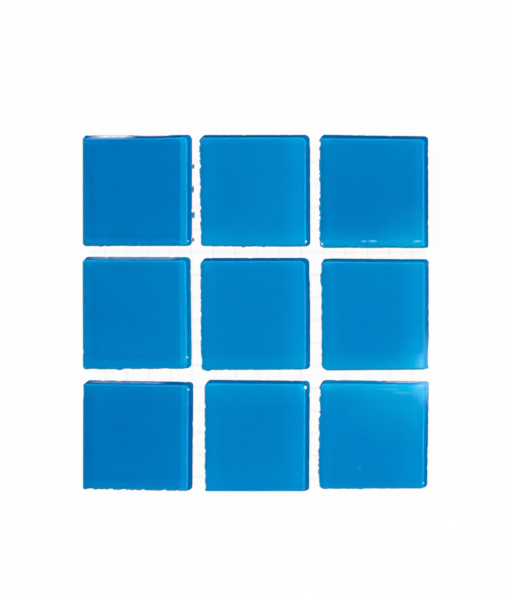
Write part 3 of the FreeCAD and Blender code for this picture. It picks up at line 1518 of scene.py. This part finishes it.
# The nine tiles by row and column
LOOKS = {
    (1, 1): TileLook(
        0.745,
        COLUMN_ONE + rim_lights(LEFT, (0.1, 0.6, 2.0)) + rim_lights(RIGHT, (0.29, 2.3, 2.65))
        + rim_lights(BOTTOM, (0.36, 1.0, 2.2), (0.09, 2.5, 6.0)),
        marks(BOTTOM, (-8.6, 0.9, -0.15), (-6.7, 1.0, -0.2), (10.4, 2.6, -0.22))
        + marks(TOP, (-3.0, 11.0, 0.16)),
        corners=mm(1.0, 0.5, 0.9, 1.0),
        ragged={BOTTOM: 0.24 * MM},
        slants=slants((0.04, -0.12), (0.0, 0.0), (0.03, -0.14), (-0.10, -0.07)),
        flare=0.55 * MM,
        scored=(0.7, 0.86, 1.0),
    ),
    (1, 2): TileLook(
        0.95,
        COLUMN_TWO + rim_lights(BOTTOM, (0.4, 0.6, 4.5), (0.05, 0.0, 20.0)),
        marks(
            LEFT, (-6.1, 1.3, 0.25), (-3.1, 0.9, 0.15), (-0.8, 1.1, 0.28), (3.9, 1.2, 0.25), (9.5, 1.4, 0.2),
        )
        + marks(BOTTOM, (-2.6, 0.6, -0.2), (0.2, 2.0, 0.1), (2.1, 0.8, -0.2)),
        corners=mm(1.4, 1.3, 0.6, 1.1),
        ragged={LEFT: 0.26 * MM, BOTTOM: 0.1 * MM},
        slants=slants((0.0, -0.15), (0.04, -0.18), (-0.21, -0.11), (0.02, -0.16)),
    ),
    (1, 3): TileLook(
        0.895,
        NEAR + rim_lights(RIGHT, (0.14, 2.3, 3.0)) + rim_lights(BOTTOM, (0.36, 1.5, 5.0), (0.32, 1.3, 2.6)),
        marks(LEFT, (-11.2, 3.0, 0.1), (-4.7, 1.0, 0.2), (0.9, 1.8, 0.18), (6.0, 1.3, 0.2))
        + marks(BOTTOM, (-6.4, 2.4, 0.12), (5.7, 2.2, 0.09)),
        corners=mm(0.9, 1.1, 1.2, 0.6),
        ragged={LEFT: 0.27 * MM, BOTTOM: 0.25 * MM},
        slants=slants((-0.03, -0.01), (0.2, -0.26), (-0.2, -0.21), (-0.09, -0.07)),
        coat_corners=mm(0.0, 0.0, 2.1, 0.0),
        glows=(CORNER_SHEEN,),
        lean=0.65 * MM,
    ),
    (2, 1): TileLook(
        0.82,
        COLUMN_ONE + rim_lights(LEFT, (0.2, 0.6, 2.4)) + rim_lights(BOTTOM, (0.32, 0.9, 3.2))
        + rim_lights(RIGHT, (0.05, 0.0, 25.0), (0.12, 2.2, 2.6)),
        marks(LEFT, (8.7, 1.2, 0.16)) + marks(BOTTOM, (-3.8, 2.2, -0.2), (1.7, 0.6, 0.15), (6.9, 3.5, 0.1)),
        corners=mm(1.0, 0.8, 0.9, 1.2),
        ragged={BOTTOM: 0.12 * MM},
        slants=slants((0.03, -0.04), (-0.02, -0.28), (0.06, -0.23), (-0.11, 0.02)),
        # Painted highlight at the lower right corner
        glows=(Glow(mm(-15.7, -10.4), *mm(0.5, 2.2), 0.3, CORNER_GREEN_HIGHLIGHT),),
        lean=0.58 * MM,
        flare=0.3 * MM,
        scored=(0.8, 0.98, 1.0),
    ),
    (2, 2): TileLook(
        0.97,
        COLUMN_TWO + rim_lights(BOTTOM, (0.32, 1.2, 4.0)),
        marks(LEFT, (0.05, 1.5, 0.2), (5.5, 1.4, 0.17), (10.6, 2.8, 0.33))
        + marks(BOTTOM, (-10.8, 1.8, -0.28)) + marks(RIGHT, (10.0, 8.0, 0.2)),
        corners=mm(1.4, 1.2, 1.0, 1.0),
        ragged={LEFT: 0.13 * MM, BOTTOM: 0.08 * MM},
        slants=slants((0.02, -0.2), (-0.05, -0.07), (-0.07, -0.17), (-0.18, 0.05)),
    ),
    (2, 3): TileLook(
        0.965,
        COLUMN_TWO + rim_lights(BOTTOM, (0.36, 1.2, 4.2), (0.2, 0.9, 1.6)),
        marks(LEFT, (-8.6, 3.6, -0.22), (-6.3, 1.0, 0.1), (-0.55, 1.4, 0.15))
        + marks(RIGHT, (-11.0, 12.0, 0.22)),
        corners=mm(0.9, 1.1, 1.5, 0.7),
        ragged={LEFT: 0.12 * MM},
        slants=slants((0.03, 0.0), (0.0, -0.13), (-0.15, -0.1), (-0.22, 0.2)),
        glows=SHEEN,
        scored=(0.75, 0.9, 0.94),
    ),
    (3, 1): TileLook(
        0.77,
        COLUMN_ONE + rim_lights(BOTTOM, (0.28, 1.0, 2.6)) + rim_lights(TOP, (0.12, 2.0, 5.0)),
        marks(BOTTOM, (-10.6, 1.3, 0.2), (-8.8, 1.3, 0.15), (-7.4, 0.8, 0.13), (-3.2, 1.5, 0.25))
        + marks(LEFT, (-10.5, 5.0, 0.14)),
        corners=mm(0.9, 0.9, 0.5, 1.0),
        ragged={BOTTOM: 0.34 * MM},
        slants=slants((0.03, -0.07), (-0.12, -0.06), (-0.08, 0.01), (-0.22, 0.0)),
        flare=0.12 * MM,
    ),
    (3, 2): TileLook(
        0.925,
        NEAR + rim_lights(RIGHT, (0.13, 1.9, 7.0), (0.12, 1.8, 2.3), (0.06, 0.0, 25.0))
        + rim_lights(TOP, (0.22, 1.5, 7.0)) + rim_lights(BOTTOM, (0.14, 0.9, 5.0)),
        marks(
            LEFT, (-7.0, 1.2, 0.24), (-1.65, 1.4, 0.24), (3.7, 1.3, 0.18), (8.0, 0.8, 0.12), (9.1, 1.2, 0.18),
            (11.3, 3.0, 0.2),
        ),
        corners=mm(1.0, 1.2, 0.5, 0.6),
        ragged={LEFT: 0.12 * MM},
        slants=slants((0.04, -0.17), (-0.03, -0.02), (-0.05, -0.14), (-0.22, 0.2)),
        # Painted highlight at the upper right corner
        glows=(Glow(mm(11.4, -17.0), *mm(0.3, 1.6), 0.3, CORNER_GREEN_HIGHLIGHT),),
    ),
    (3, 3): TileLook(
        0.92,
        NEAR + rim_lights(RIGHT, (0.12, 1.9, 7.0), (0.04, 0.0, 25.0))
        + rim_lights(TOP, (0.15, 0.0, 24.0), (0.42, 1.0, 4.2)) + rim_lights(BOTTOM, (0.2, 0.6, 3.5)),
        marks(
            LEFT, (-9.5, 3.0, 0.12), (-4.8, 1.3, 0.2), (0.5, 1.4, 0.13), (5.3, 1.0, 0.14), (6.5, 0.6, 0.16),
            (10.1, 0.9, 0.12),
        )
        + marks(BOTTOM, (-2.6, 0.8, -0.13)),
        corners=mm(0.6, 1.4, 1.6, 1.0),
        ragged={LEFT: 0.28 * MM, BOTTOM: 0.06 * MM},
        slants=slants((0.08, -0.08), (-0.2, 0.0), (-0.13, -0.28), (-0.44, 0.36)),
        glows=GLARES + TICK,
        scored=(0.75, 0.91, 1.0),
    ),
}


@dataclass(frozen=True)
class EdgeLumpsAndGlints:
    """Small teal lumps at the back just outside the first tile's right side, and painted white glints in the
    arris at the right of some tiles.

    A lump's row gives its place along the side, how far out it lies, and half its width, length and height. A
    glint's row gives its tile's row and column, which end of the side it is at, how far it lies from the side
    and from that end, and its radius. Lengths in both are in millimetres.
    """

    places: dict[tuple[int, int], TilePlace]
    lump_rows: Sequence[tuple[float, ...]] = (
        (5.5, 0.30, 0.26, 0.5, 0.14), (0.2, 0.24, 0.2, 0.75, 0.14),
        (-5.75, 0.34, 0.28, 0.65, 0.14), (-11.4, 0.28, 0.26, 0.42, 0.14),
    )
    lump_colour: Colour = (0.08, 0.37, 0.5)
    lump_level: float = 0.12 * MM
    lump_unevenness: float = 0.8
    # Painted white glints at the corners of the arris, not nicks in the glass
    nicks: Sequence[tuple[float, ...]] = (
        (1, 1, -1, 0.05, 1.2, 0.16), (1, 2, -1, 0.2, 1.2, 0.22), (2, 1, -1, 0.12, 2.7, 0.19),
        (3, 1, 1, 0.2, 1.6, 0.17), (3, 2, 1, 0.2, 1.4, 0.33), (3, 3, -1, 0.2, 1.3, 0.12),
    )
    glint_shape: tuple[float, ...] = (1.0, 1.2, 0.7)
    glint_sunk: float = 0.04 * MM
    arris: float = GlassTile.arris

    def teal_lumps(self) -> list[bpy.types.Object]:
        """Make the teal lumps.

        Returns:
            The pieces.
        """
        place = self.places[1, 1]
        finish = ColourCoat("teal_lump", colour=self.lump_colour)
        pieces = []
        for number, (along, outward, *size) in enumerate(self.lump_rows, start=1):
            middle = place.lay([Vector((place.width / 2.0 + outward * MM, along * MM, 0.0))])[0]
            middle.z = place.back + self.lump_level
            blob = Blob(f"teal_lump_{number}", middle, Vector(size) * MM, self.lump_unevenness)
            pieces.append(blob.build(finish))
        return pieces

    def painted_corner_glints(self) -> list[bpy.types.Object]:
        """Make the painted glints, each a bright lump sunk in the arris.

        Returns:
            The pieces.
        """
        finish = PaintedGlint("painted_glint")
        pieces = []
        for row, column, end, inset, along, radius in self.nicks:
            place = self.places[row, column]
            corner = Vector((place.width / 2.0 - inset * MM, end * (place.height / 2.0 - along * MM), 0.0))
            middle = place.lay([corner])[0]
            rise = self.arris * math.sqrt(1.0 - (1.0 - inset * MM / self.arris) ** 2)
            middle.z = place.face - self.arris + rise - self.glint_sunk
            half = Vector([share * radius for share in self.glint_shape]) * MM
            pieces.append(Blob(f"nick_row{row}_column{column}", middle, half).build(finish))
        return pieces


def main() -> None:
    """Build the sheet and the studio round it."""
    logging.basicConfig(level=logging.INFO, format="%(name)s: %(message)s")
    Studio().build()
    places = {key: TilePlace.of_node(*key, look.slants) for key, look in LOOKS.items()}
    pieces = []
    for key, place in places.items():
        log.info(
            "%s: %.2f x %.2f mm, turned %.2f degrees",
            place.node, place.width / MM, place.height / MM, math.degrees(place.turn),
        )
        pieces += GlassTile(place, LOOKS[key], PAINTED_LIGHTS).build()
    lumps_and_glints = EdgeLumpsAndGlints(places)
    pieces += lumps_and_glints.teal_lumps() + lumps_and_glints.painted_corner_glints()
    pieces.append(WovenNet().build())
    for piece in pieces:
        log.info("made %s, %d faces", piece.name, len(piece.data.polygons))
    bpy.context.scene.view_settings.view_transform = "Standard"


if __name__ == "__main__":
    main()
